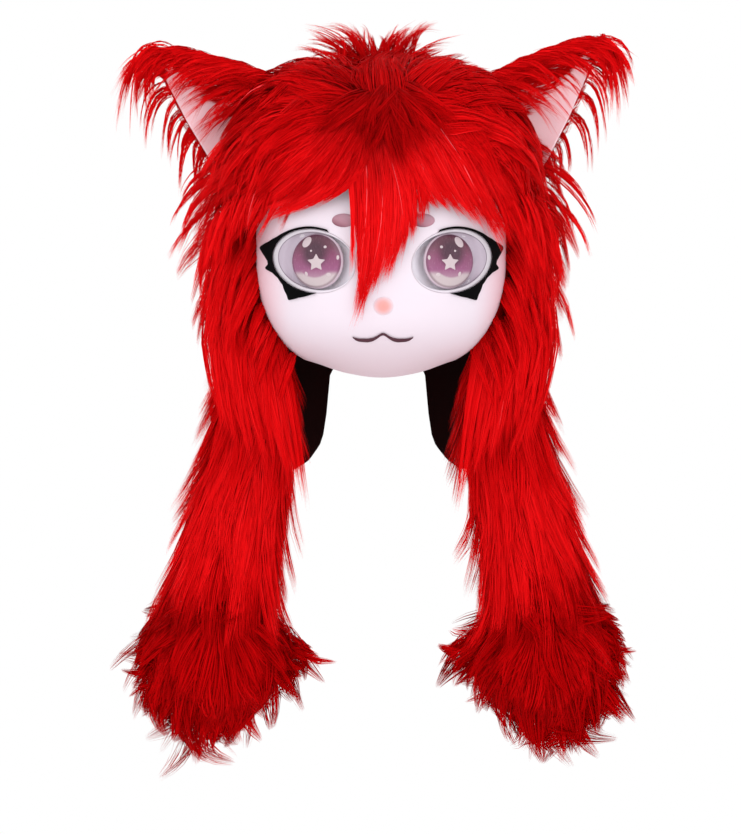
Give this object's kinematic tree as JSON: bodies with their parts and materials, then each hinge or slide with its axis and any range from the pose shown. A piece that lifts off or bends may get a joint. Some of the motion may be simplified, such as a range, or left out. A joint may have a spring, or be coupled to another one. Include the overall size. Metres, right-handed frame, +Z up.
{
  "type": "fursuit head",
  "caption": "Worn costume head with a pale rounded face shell, recessed star eyes, long red fur, two ears and a lined hood whose long front lappets end in stuffed paws.",
  "frame": {"origin": "inner crown of the head shell, the point that the wearer's head carries", "axes": "+Z up along the long way of the head and its lappets, the face looks towards -Y, +X is on the viewer's right"},
  "size_m": [0.5851, 0.3751, 0.8554],
  "materials": {
    "face_shell": "smooth matte, pale pink-white",
    "fur": "long red pile faux fur, silky",
    "paw_fur": "deep red pile faux fur",
    "hood_lining": "matte black cloth",
    "ear_lining": "pinkish white short plush",
    "eye_white": "pale lilac, satin",
    "iris": "printed plum iris under a clear domed lens",
    "eye_line": "black felt",
    "brow": "mauve felt",
    "nose": "salmon pink, soft matte",
    "mouth": "dark mauve line"
  },
  "bodies": {
    "root": {"head_shell": "face_shell", "nose": "nose", "mouth_line": "mouth", "hair_cap": "fur", "hood_lining": "hood_lining", "nape_fur": "fur", "fringe": "fur", "crown_tuft": "fur", "eye_bowl_left": "eye_white", "iris_left": "iris", "eyeline_left": "eye_line", "brow_spot_left": "brow", "side_hair_left": "fur", "lappet_left": "fur", "paw_left": "paw_fur", "ear_left": "fur", "ear_lining_left": "ear_lining", "eye_bowl_right": "eye_white", "iris_right": "iris", "eyeline_right": "eye_line", "brow_spot_right": "brow", "side_hair_right": "fur", "lappet_right": "fur", "paw_right": "paw_fur", "ear_right": "fur", "ear_lining_right": "ear_lining"}
  },
  "joints": []
}
